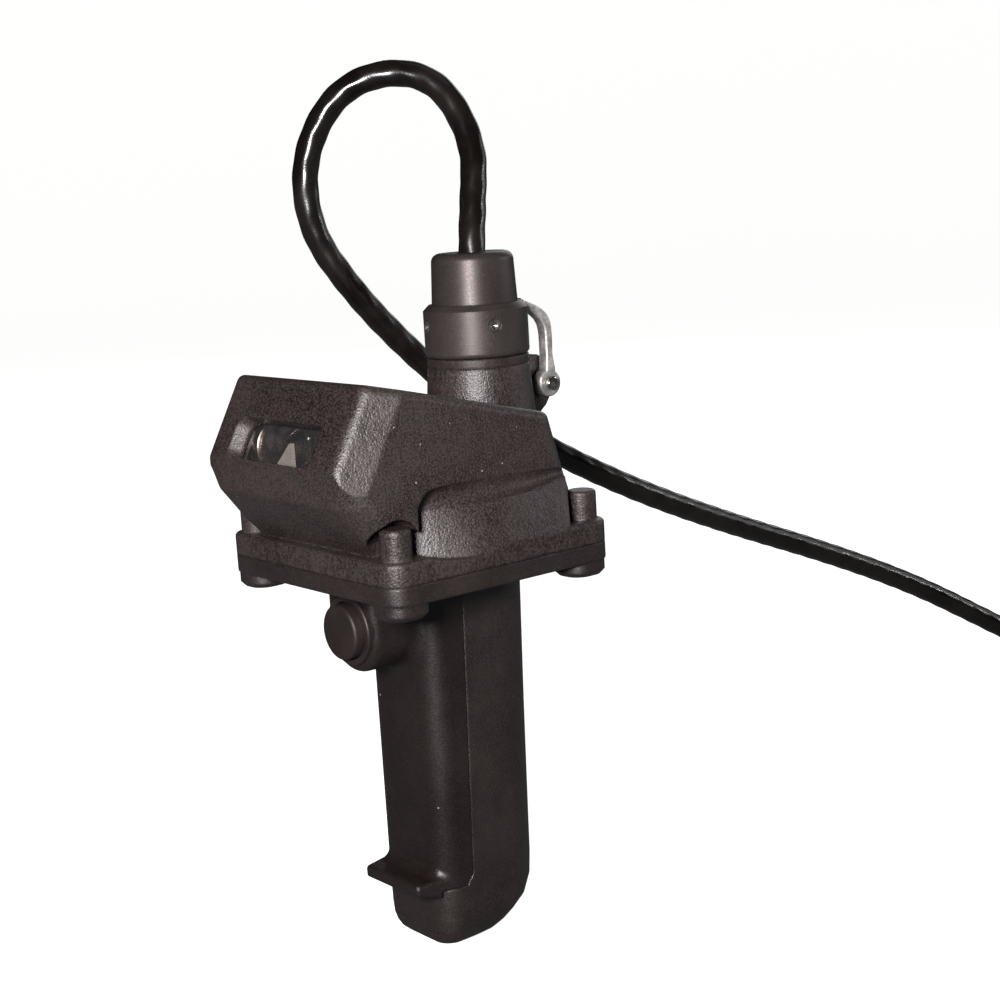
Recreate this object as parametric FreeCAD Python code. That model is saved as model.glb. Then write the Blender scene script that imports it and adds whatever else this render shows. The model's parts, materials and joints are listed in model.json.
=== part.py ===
import FreeCAD, Part
import math
import os

V = FreeCAD.Vector

# ----------------------------------------------------------------------------
# Pistol-grip hand unit: cast two-part housing, windowed nose, trigger button,
# latched cable plug on a neck.  Millimetres.
#
# Working datum: z = 0 on the parting plane of the flange, x = 0 on the plane of
# symmetry, y = 0 midway between the flange bolts; -Y is the front (window,
# button, finger ledge).  Every shape is moved by -GRIP_CENTRE when it is
# written, so the part's own origin is the middle of the hand grip.
# ----------------------------------------------------------------------------
GRIP_CENTRE = V(0, 13.5, -78.0)

# flange and corner bosses
BOLT_X = 40.5            # half spacing of the corner bolts across the width
BOLT_Y = 38.8            # half spacing of the corner bolts front to back
CORNER_R = 7.3           # flange corner radius, centred on the bolts
FLANGE_UP = 7.5          # flange thickness above the parting plane
FLANGE_DN = 6.4          # and below it
BOSS_R = 5.0             # blind upper bosses
BOSS_TOP = 17.4
FOOT_Z = -11.3           # underside of the four corner feet
COVE_R = 9.2             # domed cove round each front boss
COVE_REAR_R = 8.4
GASKET_T = 0.36

# upper housing body
NOSE_W = 36.4            # half width of the sloping front face
WALL_X = 42.0            # half width of the side walls
APEX = (-57.3, 37.3)     # (y, z) of the nose's foremost edge
BROW = (-43.6, 62.3)     # front edge of the top face
TOP_REAR = (28.6, 44.6)  # rear edge of the top face
WAIST_Y, WAIST_Z = -55.0, 25.0   # where the chin starts under the nose
BASE_FRONT = -41.4       # foot of the chin on the flange
CHEEK_END = ((-57.1, 36.1), (-48.5, 30.4))   # lower edge of the cheek, (y, z)
CORNER_R_Z = [(6.0, 8.5), (12.0, 9.5), (18.0, 10.0), (25.0, 10.0), (30.4, 8.2), (36.1, 5.2), (40.0, 4.0)]   # (z, radius)
WALL = 4.0

# skirt of each side wall, read by y: lip, upper edge of the hollow, foot
SKIRT_Y = (-30.6, -29.0, -26.5, -22.0, -16.0, -9.0, 0.0, 9.0, 18.0, 26.0, 33.0, 40.0)
LIP_X = [(-30.6, 31.61), (-28.0, 33.73), (-25.6, 35.40), (-22.0, 37.43), (-19.3, 38.69), (-13.3, 41.06),
    (-6.6, 42.99), (0.9, 44.00), (9.4, 43.90), (18.8, 43.00), (26.0, 42.21), (33.0, 41.59), (40.0, 41.00)]
LIP_Z = [(-30.6, 19.40), (-25.6, 19.73), (-13.3, 19.96), (-6.6, 20.21), (0.9, 20.55), (9.4, 20.88),
    (18.8, 21.49), (29.0, 22.93), (40.0, 24.00)]
SCOOP_Z = [(-30.6, 22.61), (-29.0, 24.64), (-26.5, 26.77), (-22.0, 27.74), (-13.3, 28.07), (0.0, 27.90),
    (11.5, 27.60), (20.1, 27.10), (28.0, 26.50), (40.0, 25.80)]
SKIRT_X = [(-30.6, 35.00), (-28.0, 37.20), (-25.6, 39.04), (-22.0, 41.45), (-19.3, 43.04), (-13.3, 45.97),
    (-6.6, 47.98), (0.9, 48.62), (9.4, 48.50), (18.8, 48.02), (26.0, 47.36), (33.0, 46.03), (40.0, 44.50)]
SKIRT_Z = [(-30.6, 7.40), (-26.0, 5.87), (-20.0, 4.95), (-12.0, 4.51), (0.0, 4.19), (14.0, 4.50), (20.0, 5.57),
    (26.0, 6.90), (33.0, 7.50), (40.0, 7.45)]
SCOOP_SAG = 1.9

# window slot, measured in the sloping face
SLOT_X0, SLOT_X1 = -22.3, 22.4
SLOT_S0, SLOT_S1 = 0.4, 13.8
SLOT_RADII = [3.0, 3.0, 1.5, 5.0]

# neck, collar and cap on one vertical axis
NECK_Y = 30.8
NECK_R_TOP, NECK_R_BOT = 17.7, 19.0
NECK_TOP = 58.9
RING_TOP = 62.1
COLLAR_R, COLLAR_TOP = 18.0, 80.0
CAP_R_BOT, CAP_R_TOP, CAP_TOP = 14.8, 14.0, 97.3

# grip: one row per level, (z, half width, front y, rear y, front and rear corner radius)
GRIP_LEVELS = [
    (-5.4, 18.6, -12.4, 36.6, 7.5, 15.0),
    (-60.0, 18.5, -12.4, 34.9, 7.5, 15.0),
    (-104.0, 18.4, -12.4, 33.9, 7.5, 15.0),
    (-115.0, 18.35, -12.4, 33.7, 7.5, 15.0),
    (-122.5, 18.3, -12.4, 33.1, 7.5, 15.0),
    (-128.7, 18.1, -12.4, 30.5, 7.5, 15.0),
    (-132.5, 17.6, -12.3, 25.9, 7.3, 14.5),
    (-135.0, 16.7, -11.8, 22.2, 7.0, 13.5),
    (-136.9, 15.4, -10.9, 18.4, 6.5, 12.0),
    (-138.3, 13.4, -9.5, 12.8, 6.0, 10.0),
    (-139.3, 10.6, -7.2, 3.6, 5.0, 5.5),
]
GRIP_W = 18.5
GRIP_FRONT = -12.4
GRIP_BOTTOM = -139.3
PANEL = [(3.2, -6.4), (0.2, -113.0), (-2.6, -116.6)]   # seam of the front cover, (y, z)
SEAM = 0.15
GRIP_WALL = 3.6

# trigger button
BTN_R = 9.4
BTN_Z = -23.1
BTN_FACE = -35.4
BTN_TRAVEL = 3.0
BARREL_FACE = -31.0
BARREL_W = 13.3
BARREL_BOT = -37.9

# finger ledge
LEDGE_TIP = -21.7
LEDGE_W = 15.0
LEDGE_TOP, LEDGE_LOW = -112.4, -116.6

# optical block behind the slot
AX = (-37.2, 38.0)       # (y, z) of the lens barrel's axis
BAR_R = 8.8
OPTICS_SCREW_X, OPTICS_SCREW_Y = (-18.0, 15.0), -19.75

# latch lever
LATCH_PIVOT = (58.6, 49.2)
LATCH_X0, LATCH_X1 = 1.2, 5.6
LATCH_BOSS_R = 4.8
PIN_R = 2.0
PIN_CLEAR = 0.06

# cable
CABLE_D = 9.3
FLOOR_Z = GRIP_BOTTOM
COIL_C = (12.0, 436.0)
COIL_R = 51.0
COIL_T = 2 * CABLE_D
TAIL_L = 42.0            # straight lead from the coil to the connector

OUT = "parts"
os.makedirs(OUT, exist_ok=True)
NODES = {}


# ---------------------------------------------------------------- helpers ---
def box(x0, x1, y0, y1, z0, z1):
    return Part.makeBox(x1 - x0, y1 - y0, z1 - z0, V(x0, y0, z0))


def cyl(p, d, r, h):
    return Part.makeCylinder(r, h, V(*p), V(*d))


def cone(p, d, r0, r1, h):
    return Part.makeCone(r0, r1, h, V(*p), V(*d))


def tube(p, d, r_out, r_in, h):
    return cyl(p, d, r_out, h).cut(cyl(p, d, r_in, h))


def poly_face(pts):
    w = Part.makePolygon([V(*p) for p in pts] + [V(*pts[0])])
    return Part.Face(w)


def prism_yz(pts, x0, x1):
    return poly_face([(x0, y, z) for y, z in pts]).extrude(V(x1 - x0, 0, 0))


def prism_xy(pts, z0, z1):
    return poly_face([(x, y, z0) for x, y in pts]).extrude(V(0, 0, z1 - z0))


def prism_xz(pts, y0, y1):
    return poly_face([(x, y0, z) for x, z in pts]).extrude(V(0, y1 - y0, 0))


def rect_wire(x0, x1, y0, y1, z, radii):
    """Rectangle with a rounded corner at each of (x0,y0) (x1,y0) (x1,y1) (x0,y1)."""
    c = [(x0, y0, 1, 1), (x1, y0, -1, 1), (x1, y1, -1, -1), (x0, y1, 1, -1)]
    k = math.sqrt(0.5)
    ends = []
    for (x, y, sx, sy), r in zip(c, radii):
        cx, cy = x + sx * r, y + sy * r
        mid = V(cx - sx * r * k, cy - sy * r * k, z)
        ax, ay = V(x, cy, z), V(cx, y, z)
        ends.append((ax, mid, ay))
    order = [(ends[0][0], ends[0][1], ends[0][2]), (ends[1][2], ends[1][1], ends[1][0]),
             (ends[2][0], ends[2][1], ends[2][2]), (ends[3][2], ends[3][1], ends[3][0])]
    edges = []
    for i in range(4):
        a, m, b = order[i]
        nxt = order[(i + 1) % 4][0]
        edges.append(Part.Arc(a, m, b).toShape())
        edges.append(Part.LineSegment(b, nxt).toShape())
    return Part.Wire(edges)


def rprism(x0, x1, y0, y1, z0, z1, radii):
    if not isinstance(radii, (list, tuple)):
        radii = [radii] * 4
    return Part.Face(rect_wire(x0, x1, y0, y1, z0, radii)).extrude(V(0, 0, z1 - z0))


def fuse(*s):
    r = s[0]
    for t in s[1:]:
        r = r.fuse(t)
    return r.removeSplitter()


def fillet(shape, r, pick):
    """Round the edges that pick(edge) names; step the radius down if it won't build."""
    es = [e for e in shape.Edges if pick(e)]
    if not es:
        print("no edges for a fillet of", r)
        return shape
    for k in (1.0, 0.85, 0.7, 0.5):
        try:
            out = shape.makeFillet(r * k, es)
            if out.isValid() and out.Volume > 0:
                if k < 1.0:
                    print("fillet", r, "built at", r * k)
                return out
        except Exception:
            pass
    print("fillet", r, "left out on", len(es), "edges")
    return shape


def chamfer(shape, r, pick):
    es = [e for e in shape.Edges if pick(e)]
    try:
        out = shape.makeChamfer(r, es)
        if out.isValid():
            return out
    except Exception:
        pass
    print("chamfer", r, "left out")
    return shape


def mid(e):
    return e.valueAt((e.FirstParameter + e.LastParameter) / 2.0)


def near(e, x=None, y=None, z=None, tol=0.4):
    m = mid(e)
    return all(v is None or abs(c - v) < tol for c, v in ((m.x, x), (m.y, y), (m.z, z)))


def mirror_x(s):
    return s.mirror(V(0, 0, 0), V(1, 0, 0))


def add(name, *solids):
    s = solids[0] if len(solids) == 1 else Part.makeCompound(list(solids))
    s = s.copy()
    s.translate(-GRIP_CENTRE)
    NODES[name] = s


CORNERS = [(sx * BOLT_X, sy * BOLT_Y) for sx in (-1, 1) for sy in (-1, 1)]

# ------------------------------------------------- directions of the face ---
FACE_UP = V(0, BROW[0] - APEX[0], BROW[1] - APEX[1])
FACE_UP.normalize()
FACE_OUT = V(0, -FACE_UP.z, FACE_UP.y)        # out of the sloping face
FACE_O = V(0, APEX[0], APEX[1])


def face_pt(x, s, out=0.0):
    return FACE_O + V(x, 0, 0) + FACE_UP * s + FACE_OUT * out


def face_prism(x0, x1, s0, s1, o0, o1, radii, flare=0.0, flare_left=None):
    """Rounded rectangle in the sloping face, from depth o0 to depth o1.
    With a flare the section at o1 is larger by that much all round."""
    m = FreeCAD.Matrix(1, 0, 0, FACE_O.x,
                       0, FACE_UP.y, FACE_OUT.y, FACE_O.y,
                       0, FACE_UP.z, FACE_OUT.z, FACE_O.z,
                       0, 0, 0, 1)
    w0 = rect_wire(x0, x1, s0, s1, o0, radii)
    fl = flare if flare_left is None else flare_left
    if flare or flare_left:
        w1 = rect_wire(x0 - fl, x1 + flare, s0 - flare, s1 + flare, o1, [r + flare for r in radii])
        s = Part.makeLoft([w0, w1], True, True)
    else:
        s = Part.Face(w0).extrude(V(0, 0, o1 - o0))
    s = s.transformGeometry(m)
    return s


# ------------------------------------------------------- upper housing ------
CHIN = (BASE_FRONT - WAIST_Y) / (WAIST_Z - FLANGE_UP)      # how far the chin falls back per mm


def half_space(p, n):
    """Everything on the n side of the plane through p."""
    b = Part.makeBox(300, 300, 300, V(-150, -150, 0))
    b.Placement = FreeCAD.Placement(p, FreeCAD.Rotation(V(0, 0, 1), n))
    return b


def plane_of(a, b, c):
    n = (b - a).cross(c - a)
    n.normalize()
    return n if n.x > 0 else n * -1


CHEEK_A = V(NOSE_W, APEX[0], APEX[1])
CHEEK_N = plane_of(CHEEK_A, CHEEK_A + FACE_UP * 10, V(WALL_X, -44.6, APEX[1]))


def front_y(z):
    """The front wall below the slot: upright under the apex, then the chin."""
    if z >= WAIST_Z:
        return WAIST_Y + (APEX[0] - WAIST_Y) * (z - WAIST_Z) / (APEX[1] - WAIST_Z)
    return WAIST_Y + CHIN * (WAIST_Z - z)


CORNER = (V(WALL_X - 9.0, WAIST_Y, WAIST_Z), V(WALL_X, WAIST_Y + 9.0, WAIST_Z),
          V(WALL_X - 9.0, front_y(6.0), 6.0))     # flat behind that corner, for the inner wall
CORNER_N = plane_of(*CORNER)


def corner_cut():
    """What lies outside the rounded front corner on the +X side, below the cheek."""
    secs = []
    for z, r in CORNER_R_Z:
        y, x, k = front_y(z) - 0.03, WALL_X + 0.03, math.sqrt(0.5)
        a, b = V(x, y + r, z), V(x - r, y, z)
        m = V(x - r + r * k, y + r - r * k, z)
        o1, o2, o3 = V(x + 6, y + r, z), V(x + 6, y - 6, z), V(x - r, y - 6, z)
        secs.append(Part.Wire([Part.Arc(a, m, b).toShape(), Part.LineSegment(b, o3).toShape(),
                               Part.LineSegment(o3, o2).toShape(), Part.LineSegment(o2, o1).toShape(),
                               Part.LineSegment(o1, a).toShape()]))
    c = Part.makeLoft(secs, True, True)
    (ya, za), (yb, zb) = CHEEK_END
    n = V(0, za - zb, yb - ya)
    n.normalize()
    return c.cut(half_space(V(0, ya, za), n))


def upper_block(inset=0.0):
    """The wedge of the body down to the flange; inset pulls every wall inwards."""
    i = inset
    ny = FACE_OUT.y
    w = WALL_X - i
    if i == 0:
        pts = [(BASE_FRONT + CHIN, FLANGE_UP - 1.0), (WAIST_Y, WAIST_Z), APEX, BROW, TOP_REAR, (34.2, WAIST_Z),
               (36.6, 18.0), (38.8, 12.0), (41.2, FLANGE_UP - 1.0)]
    else:
        pts = [(BASE_FRONT + i, -1.0), (BASE_FRONT + i, FLANGE_UP), (WAIST_Y + 1.13 * i, WAIST_Z + 0.12 * i),
               (APEX[0] - ny * i * 1.25, APEX[1] - 0.6 * i), (BROW[0] - ny * i * 0.86, BROW[1] - 1.28 * i),
               (TOP_REAR[0] - 0.9 * i, TOP_REAR[1] - 0.9 * i), (34.2 - i, WAIST_Z), (31.5, 18.0), (31.5, -1.0)]
    b = prism_yz(pts, -w, w)
    # flat cheek between the front face and each side wall, leaning with the face
    cut = half_space(CHEEK_A - CHEEK_N * (0.35 * i), CHEEK_N)
    b = b.cut(cut).cut(mirror_x(cut))
    if i > 0:
        cut = half_space(CORNER[0] - CORNER_N * (0.8 * i), CORNER_N)
        b = b.cut(cut).cut(mirror_x(cut))
    return b


def top_plane_z(y):
    k = (TOP_REAR[1] - BROW[1]) / (TOP_REAR[0] - BROW[0])
    return BROW[1] + k * (y - BROW[0])


def on_top(e):
    return all(abs(v.Point.z - top_plane_z(v.Point.y)) < 0.3 for v in e.Vertexes)


def on_plane(e, p, n, tol=0.05):
    return all(abs((V(abs(v.Point.x), v.Point.y, v.Point.z) - p).dot(n)) < tol for v in e.Vertexes)


blk = upper_block()
# upright rear corners, the ridges of the nose, then the rim of the top face
blk = fillet(blk, 8.0, lambda e: mid(e).y > 25 and abs(abs(mid(e).x) - WALL_X) < 0.5 and e.Length > 4
             and abs(e.tangentAt(e.FirstParameter).z) > 0.8)
blk = fillet(blk, 4.6, lambda e: not on_top(e) and on_plane(e, CHEEK_A, CHEEK_N) and on_plane(e, FACE_O, FACE_OUT)
             and e.Length < 40)
blk = fillet(blk, 3.0, lambda e: not on_top(e) and on_plane(e, CHEEK_A, CHEEK_N) and abs(abs(mid(e).x) - WALL_X) < 0.1)
blk = fillet(blk, 3.4, on_top)
blk = fillet(blk, 2.4, lambda e: near(e, y=APEX[0], z=APEX[1], tol=0.3) and e.Length > 20)
blk = blk.cut(corner_cut()).cut(mirror_x(corner_cut()))
blk = fillet(blk, 2.5, lambda e: near(e, x=0, y=WAIST_Y, z=WAIST_Z, tol=0.3) and e.Length > 8)
body = blk


def at(table, y):
    """Smooth reading of a table of (y, value)."""
    i = max(0, min(len(table) - 2, sum(1 for p in table if p[0] <= y) - 1))
    (y0, v0), (y1, v1) = table[i], table[i + 1]
    h = y1 - y0
    s = s0 = s1 = (v1 - v0) / h
    if i > 0:
        s0 = 0.5 * (s + (v0 - table[i - 1][1]) / (y0 - table[i - 1][0]))
    if i < len(table) - 2:
        s1 = 0.5 * (s + (table[i + 2][1] - v1) / (table[i + 2][0] - y1))
    t = (y - y0) / h
    return (v0 * (1 + 2 * t) * (1 - t) ** 2 + h * s0 * t * (1 - t) ** 2
            + v1 * t * t * (3 - 2 * t) + h * s1 * t * t * (t - 1))


def skirt_section(y, grow=0.0, z_low=None):
    """Section of what is cut away outside the skirt of a side wall, in the plane at y: from the
    edge of the side wall above, through a hollow, to the skirt's lip, and down the skirt."""
    xl, zl, zt, zb, xb = [at(t, y) for t in (LIP_X, LIP_Z, SCOOP_Z, SKIRT_Z, SKIRT_X)]
    if grow:
        zt += grow
        zb = z_low
        xl, xb, top_x = xl - grow, xb - grow, WALL_X - grow
    else:
        top_x = WALL_X + 0.02
    pts = [V(62, y, zt), V(top_x, y, zt), V(xl, y, zl), V(xb, y, zb), V(62, y, zb)]
    d = pts[2] - pts[1]
    m = (pts[1] + pts[2]) * 0.5 + V(d.z, 0, -d.x) * (SCOOP_SAG / d.Length)
    return Part.Wire([Part.LineSegment(pts[0], pts[1]).toShape(), Part.Arc(pts[1], m, pts[2]).toShape(),
                      Part.LineSegment(pts[2], pts[3]).toShape(), Part.LineSegment(pts[3], pts[4]).toShape(),
                      Part.LineSegment(pts[4], pts[0]).toShape()])


def skirt_cut(grow=0.0, z_low=None, ys=None):
    return Part.makeLoft([skirt_section(y, grow, z_low) for y in (ys or SKIRT_Y)], True, False)


# the skirt stands out past the side wall lower down, flush with the flange's edge; a hollow along
# its top and its own curve are cut back between the two bosses of the side
skirt = skirt_cut()
for sx in (-1, 1):
    pad = prism_xy([(20.0, -27.0), (BOLT_X + CORNER_R, -27.0), (BOLT_X + CORNER_R, 27.0), (43.2, 30.5), (38.0, 32.6),
                    (20.0, 32.6)], FLANGE_UP - 4.0, WAIST_Z - 0.8)
    c = skirt
    if sx < 0:
        pad, c = mirror_x(pad), mirror_x(c)
    body = body.fuse(pad).cut(c)

flange = rprism(-BOLT_X - CORNER_R, BOLT_X + CORNER_R, -BOLT_Y - CORNER_R, BOLT_Y + CORNER_R,
                GASKET_T / 2, FLANGE_UP, CORNER_R)
flange = fillet(flange, 1.4, lambda e: near(e, z=FLANGE_UP, tol=0.05))
for c in (skirt, mirror_x(skirt)):
    flange = flange.cut(c)


# domed coves round the corner bosses
def cove(cx, cy, grow=0.0):
    r = (COVE_R if cy < 0 else COVE_REAR_R) + grow
    zc = 11.0 if cy < 0 else 11.4
    return fuse(Part.makeSphere(r, V(cx, cy, zc)), cyl((cx, cy, FLANGE_UP - 0.5 - grow), (0, 0, 1), r, zc - FLANGE_UP + 0.5 + grow))


for cx, cy in CORNERS:
    body = body.cut(cove(cx, cy))
body = body.cut(box(-80, 80, -80, 80, -5, FLANGE_UP - 4.0 + 0.01))
upper = fuse(body, flange)
for cx, cy in CORNERS:
    b = cyl((cx, cy, GASKET_T / 2), (0, 0, 1), BOSS_R, BOSS_TOP - GASKET_T / 2)
    b = fillet(b, 1.2, lambda e: near(e, z=BOSS_TOP, tol=0.05))
    upper = fuse(upper, b)

# neck: a drafted column that runs into the rear wall
neck = cone((0, NECK_Y, 24.0), (0, 0, 1), NECK_R_BOT + 1.2, NECK_R_TOP, NECK_TOP - 24.0)
neck = neck.cut(prism_yz([(40.6, 10.0), (53.0, 45.0), (80, 45), (80, 10)], -40, 40))
neck = fillet(neck, 0.6, lambda e: near(e, z=NECK_TOP, tol=0.05))
upper = fuse(upper, neck)

# ear behind the neck, carrying the latch lever
ear = prism_yz([(44.0, 59.4), (57.4, 59.4), (61.6, 55.4), (63.1, 49.2), (62.6, 44.6), (60.2, 41.0), (55.0, 37.0),
                (50.0, 32.0), (44.0, 22.0)], -6.2, 0.6)
ear = fillet(ear, 2.2, lambda e: mid(e).y > 50 and abs(e.tangentAt(e.FirstParameter).x) > 0.9)
upper = fuse(upper, ear)
upper = upper.cut(cyl((0, NECK_Y, NECK_TOP), (0, 0, 1), 17.8, 4.0))

# cavity of the upper housing, open at the flange, and the bore of the neck;
# the corners stay solid behind the coves
cav = upper_block(WALL)
for c in (skirt_cut(3.2, -2.0), mirror_x(skirt_cut(3.2, -2.0))):
    cav = cav.cut(c)
for cx, cy in CORNERS:
    cav = cav.cut(cove(cx, cy, 2.6))
    cav = cav.cut(cyl((cx, cy, -2), (0, 0, 1), 9.0, 14.0))
upper = upper.cut(cav)
upper = upper.cut(cyl((0, NECK_Y, 26.0), (0, 0, 1), 12.2, NECK_TOP + 1 - 26.0))
# window slot through the sloping wall, with a flared mouth
upper = upper.cut(face_prism(SLOT_X0, SLOT_X1, SLOT_S0, SLOT_S1, -14.0, 2.0, SLOT_RADII))
upper = upper.cut(face_prism(SLOT_X0, SLOT_X1, SLOT_S0 + 0.1, SLOT_S1 - 0.1, -3.2, 0.6, SLOT_RADII,
                             flare=0.7, flare_left=3.6))
# seat for the window glass, cut from inside
upper = upper.cut(face_prism(-27.6, 26.0, -1.8, 17.2, -14.0, -4.4, [4.0, 4.0, 3.0, 3.0]))
# blind bolt holes
for cx, cy in CORNERS:
    upper = upper.cut(cyl((cx, cy, -1), (0, 0, 1), 2.1, 14.0))
upper = upper.cut(cyl((-7, LATCH_PIVOT[0], LATCH_PIVOT[1]), (1, 0, 0), 1.7, 10))
upper = upper.removeSplitter()
add("upper_housing", upper)

# ------------------------------------------------------- lower housing ------
plate = rprism(-BOLT_X - CORNER_R, BOLT_X + CORNER_R, -BOLT_Y - CORNER_R, BOLT_Y + CORNER_R,
               -FLANGE_DN, -GASKET_T / 2, CORNER_R)
plate = fillet(plate, 0.9, lambda e: near(e, z=-FLANGE_DN, tol=0.05))
lower = plate
for cx, cy in CORNERS:
    sx, sy = (1 if cx > 0 else -1), (1 if cy > 0 else -1)
    x0, x1 = sorted((cx + sx * (CORNER_R - 0.5), cx - sx * 9.4))
    y0, y1 = sorted((cy + sy * (CORNER_R - 0.5), cy - sy * 9.4))
    foot = rprism(x0, x1, y0, y1, FOOT_Z, -FLANGE_DN + 1.0, 6.8)
    foot = chamfer(foot, 1.6, lambda e: near(e, z=FOOT_Z, tol=0.05))
    lower = fuse(lower, foot)


def grip_solid(inset=0.0, z_top=None):
    rows = []
    for z, w, y0, y1, rf, rr in GRIP_LEVELS:
        if inset:
            if z < -129.0:
                continue
            rows.append((z, w - inset, y0 + inset, y1 - inset, rf - inset, rr - inset))
        else:
            rows.append((z, w, y0, y1, rf, rr))
    if inset:
        rows.append((-134.0, 12.0, -6.0, 20.0, 3.5, 9.0))
    if z_top is not None:
        rows.insert(0, (z_top,) + rows[0][1:])
    return Part.makeLoft([rect_wire(-w, w, y0, y1, z, [rf, rf, rr, rr]) for z, w, y0, y1, rf, rr in rows][::-1],
                         True, True)


def panel_region(gap=0.0, z_top=-FLANGE_DN):
    (ya, za), (yb, zb), (yc, zc) = PANEL
    pts = [(-70, z_top), (ya - gap, z_top), (ya - gap, za), (yb - gap, zb), (yc - gap * 0.4, zc + gap),
           (-70, zc + gap)]
    return prism_yz(pts, -26.0, 26.0)


SCREW_BARS = (-46.0, -102.0)
grip = grip_solid()
grip_in = grip_solid(GRIP_WALL, z_top=1.0)
lower = fuse(lower, grip)
lower = lower.cut(grip_in)
# opening in front for the front cover, and two bars inside that it screws to
lower = lower.cut(panel_region())
for z in SCREW_BARS:
    bar = box(-GRIP_W + 2.0, GRIP_W - 2.0, 4.4, 7.4, z - 4.5, z + 4.5)
    for sx in (-1, 1):
        bar = bar.cut(cyl((sx * 9.5, 0, z), (0, 1, 0), 1.6, 20))
    lower = fuse(lower, bar)
# way through the flange for the wires and the switch
lower = lower.cut(rprism(-13.0, 13.0, GRIP_FRONT + GRIP_WALL + 0.5, 30.0, -FLANGE_DN - 1, 1.0, 4.0))
for cx, cy in CORNERS:
    lower = lower.cut(cyl((cx, cy, FOOT_Z - 1), (0, 0, 1), 2.75, 14))
    lower = lower.cut(cyl((cx, cy, FOOT_Z - 1), (0, 0, 1), 4.6, 1 + 6.2))
for x in OPTICS_SCREW_X:
    lower = lower.cut(cyl((x, OPTICS_SCREW_Y, -5.4), (0, 0, 1), 1.32, 8))
add("lower_housing", lower.removeSplitter())

# gasket between the two castings
g = rprism(-BOLT_X - CORNER_R + 0.3, BOLT_X + CORNER_R - 0.3, -BOLT_Y - CORNER_R + 0.3, BOLT_Y + CORNER_R - 0.3,
           -GASKET_T / 2, GASKET_T / 2, CORNER_R - 0.3)
g = g.cut(rprism(-34.5, 34.5, -38.0, 29.0, -2, 2, 5.0))
for cx, cy in CORNERS:
    g = g.cut(cyl((cx, cy, -2), (0, 0, 1), 3.0, 4))
add("housing_gasket", g)

# socket-head bolts from below, with spring washers
bolts, washers = [], []
for cx, cy in CORNERS:
    head_z = FOOT_Z + 5.2
    shank = cyl((cx, cy, head_z - 0.05), (0, 0, 1), 2.05, 18.0)
    head = cyl((cx, cy, head_z - 4.0), (0, 0, 1), 3.9, 4.0)
    head = fillet(head, 0.4, lambda e, h=head_z: near(e, z=h - 4.0, tol=0.05))
    hexw = Part.makePolygon([V(cx + 2.3 * math.cos(math.radians(60 * k)), cy + 2.3 * math.sin(math.radians(60 * k)),
                               head_z - 4.0) for k in range(7)])
    head = head.cut(Part.Face(hexw).extrude(V(0, 0, 2.2)))
    bolts.append(fuse(shank, head))
    washers.append(tube((cx, cy, head_z), (0, 0, 1), 4.0, 2.35, 1.0 - 0.001))
add("housing_bolts", *bolts)
add("bolt_washers", *washers)

# ------------------------------------------------------- grip front cover ---
# barrel of the trigger button: straight sides, round underside
arch = fuse(cyl((0, BARREL_FACE, BARREL_BOT + BARREL_W), (0, 1, 0), BARREL_W, 24.0),
            box(-BARREL_W, BARREL_W, BARREL_FACE, BARREL_FACE + 24.0, BARREL_BOT + BARREL_W, 0.0))
arch = fillet(arch, 4.0, lambda e: near(e, y=BARREL_FACE, tol=0.05) and mid(e).z < -1.0)
cover = fuse(grip_solid(z_top=0.0), arch)
cover = fillet(cover, 5.0, lambda e: -13.5 < mid(e).y < -2.0 and -45 < mid(e).z < -1.0 and abs(mid(e).x) < 15.0
               and not near(e, z=-5.4, tol=0.1) and e.Length > 3.0)
# finger ledge: a plate that tapers back to the grip's corners
ledge = prism_yz([(LEDGE_TIP, LEDGE_TOP), (-12.0, LEDGE_TOP + 0.3), (-3.0, LEDGE_TOP + 0.4), (-3.0, -116.4),
                  (-7.0, -117.4), (-12.4, -118.8), (LEDGE_TIP, LEDGE_LOW)], -19, 19)
ledge = ledge.common(prism_xy([(-LEDGE_W, LEDGE_TIP - 0.01), (LEDGE_W, LEDGE_TIP - 0.01), (18.2, -5.0), (17.6, -2.8),
                               (-17.6, -2.8), (-18.2, -5.0)], -125, -105))
ledge = fillet(ledge, 1.4, lambda e: abs(mid(e).y - LEDGE_TIP) < 0.3 and abs(e.tangentAt(e.FirstParameter).z) > 0.9)
ledge = fillet(ledge, 1.5, lambda e: mid(e).y < GRIP_FRONT and abs(mid(e).z - LEDGE_TOP) < 0.3)
ledge = fillet(ledge, 1.2, lambda e: mid(e).y < GRIP_FRONT and mid(e).z < LEDGE_LOW + 0.6)
cover = fuse(cover, ledge)
cover = fillet(cover, 4.0, lambda e: abs(mid(e).z - LEDGE_TOP - 0.3) < 0.3 and -13.0 < mid(e).y < -3.5
               and e.Length > 2.0)
cover = cover.common(panel_region(SEAM).fuse(prism_yz([(-70, -130), (-70, PANEL[2][1] + SEAM), (-12.55, PANEL[2][1] + SEAM),
                                                       (-12.55, -130)], -26, 26)))
cover = cover.cut(grip_solid(GRIP_WALL, z_top=5.0))
# studs that meet the bars inside
for z in SCREW_BARS:
    for sx in (-1, 1):
        cover = cover.fuse(cyl((sx * 9.5, GRIP_FRONT + 2.0, z), (0, 1, 0), 3.2, 4.35 - GRIP_FRONT - 2.0))
        cover = cover.cut(cyl((sx * 9.5, -6.0, z), (0, 1, 0), 1.15, 12.0))
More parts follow.
